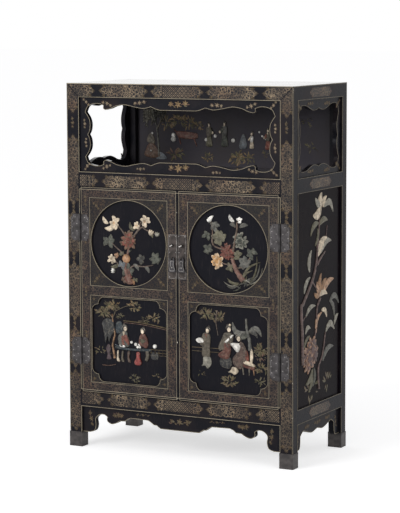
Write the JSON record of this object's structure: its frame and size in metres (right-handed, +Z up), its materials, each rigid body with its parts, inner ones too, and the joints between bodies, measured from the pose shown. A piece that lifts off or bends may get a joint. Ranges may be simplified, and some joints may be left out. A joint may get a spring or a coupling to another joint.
{
  "type": "lacquer display cabinet",
  "caption": "Black lacquer cabinet on square legs: an open display bay with shaped frets above a cupboard with paired hinged doors, stone relief panels and shaped aprons.",
  "frame": {"origin": "on the floor, under the middle of the whole object's bounding box", "axes": "+Z up, the doors face -Y, +X is to the right of someone who faces the doors"},
  "size_m": [0.833, 0.4256, 1.22],
  "materials": {
    "black_lacquer": "polished black lacquer",
    "gilt_lacquer": "black lacquer with dull gold diaper",
    "patinated_metal": "dark patina",
    "hardstone": "carved and waxed soft stone"
  },
  "bodies": {
    "carcase": {"post_front_left": "gilt_lacquer", "post_front_right": "gilt_lacquer", "post_rear_left": "gilt_lacquer", "post_rear_right": "gilt_lacquer", "top_rail_front": "gilt_lacquer", "top_rail_rear": "black_lacquer", "top_rail_left": "black_lacquer", "top_rail_right": "black_lacquer", "mid_rail_front": "gilt_lacquer", "mid_rail_rear": "black_lacquer", "mid_rail_left": "black_lacquer", "mid_rail_right": "black_lacquer", "bottom_rail_front": "gilt_lacquer", "bottom_rail_rear": "black_lacquer", "bottom_rail_left": "black_lacquer", "bottom_rail_right": "black_lacquer", "top_panel": "black_lacquer", "display_floor": "black_lacquer", "cupboard_floor": "black_lacquer", "side_panel_left": "black_lacquer", "side_panel_right": "black_lacquer", "cupboard_back": "black_lacquer", "display_back": "black_lacquer", "fret_front": "black_lacquer", "fret_left": "black_lacquer", "fret_right": "black_lacquer", "apron_front": "black_lacquer", "apron_rear": "black_lacquer", "apron_left": "black_lacquer", "apron_right": "black_lacquer", "shoe_front_left": "patinated_metal", "shoe_front_right": "patinated_metal", "shoe_rear_left": "patinated_metal", "shoe_rear_right": "patinated_metal", "left_post_upper_hinge_leaf": "patinated_metal", "left_post_lower_hinge_leaf": "patinated_metal", "right_post_upper_hinge_leaf": "patinated_metal", "right_post_lower_hinge_leaf": "patinated_metal"},
    "left_door": {"left_door_hinge_stile": "gilt_lacquer", "left_door_meeting_stile": "gilt_lacquer", "left_door_top_rail": "gilt_lacquer", "left_door_mid_rail": "gilt_lacquer", "left_door_bottom_rail": "gilt_lacquer", "left_door_upper_panel": "black_lacquer", "left_door_lower_panel": "black_lacquer", "left_door_lock_plate": "patinated_metal", "left_door_upper_hinge_leaf": "patinated_metal", "left_door_lower_hinge_leaf": "patinated_metal"},
    "right_door": {"right_door_hinge_stile": "gilt_lacquer", "right_door_meeting_stile": "gilt_lacquer", "right_door_top_rail": "gilt_lacquer", "right_door_mid_rail": "gilt_lacquer", "right_door_bottom_rail": "gilt_lacquer", "right_door_upper_panel": "black_lacquer", "right_door_lower_panel": "black_lacquer", "right_door_lock_plate": "patinated_metal", "right_door_upper_hinge_leaf": "patinated_metal", "right_door_lower_hinge_leaf": "patinated_metal"},
    "left_pull": {"left_door_pull": "patinated_metal"},
    "right_pull": {"right_door_pull": "patinated_metal"}
  },
  "joints": [
    {"name": "left_door_hinge", "type": "hinge", "parent": "carcase", "child": "left_door", "pos_m": [-0.36825, -0.20275, 0.5335], "axis": [0, 0, -1], "range_deg": [0, 170]},
    {"name": "right_door_hinge", "type": "hinge", "parent": "carcase", "child": "right_door", "pos_m": [0.36825, -0.20275, 0.5335], "axis": [0, 0, 1], "range_deg": [0, 170]},
    {"name": "left_pull_swing", "type": "hinge", "parent": "left_door", "child": "left_pull", "pos_m": [-0.01725, -0.20455, 0.6585], "axis": [-1, 0, 0], "range_deg": [0, 100]},
    {"name": "right_pull_swing", "type": "hinge", "parent": "right_door", "child": "right_pull", "pos_m": [0.01725, -0.20455, 0.6585], "axis": [-1, 0, 0], "range_deg": [0, 100]}
  ]
}
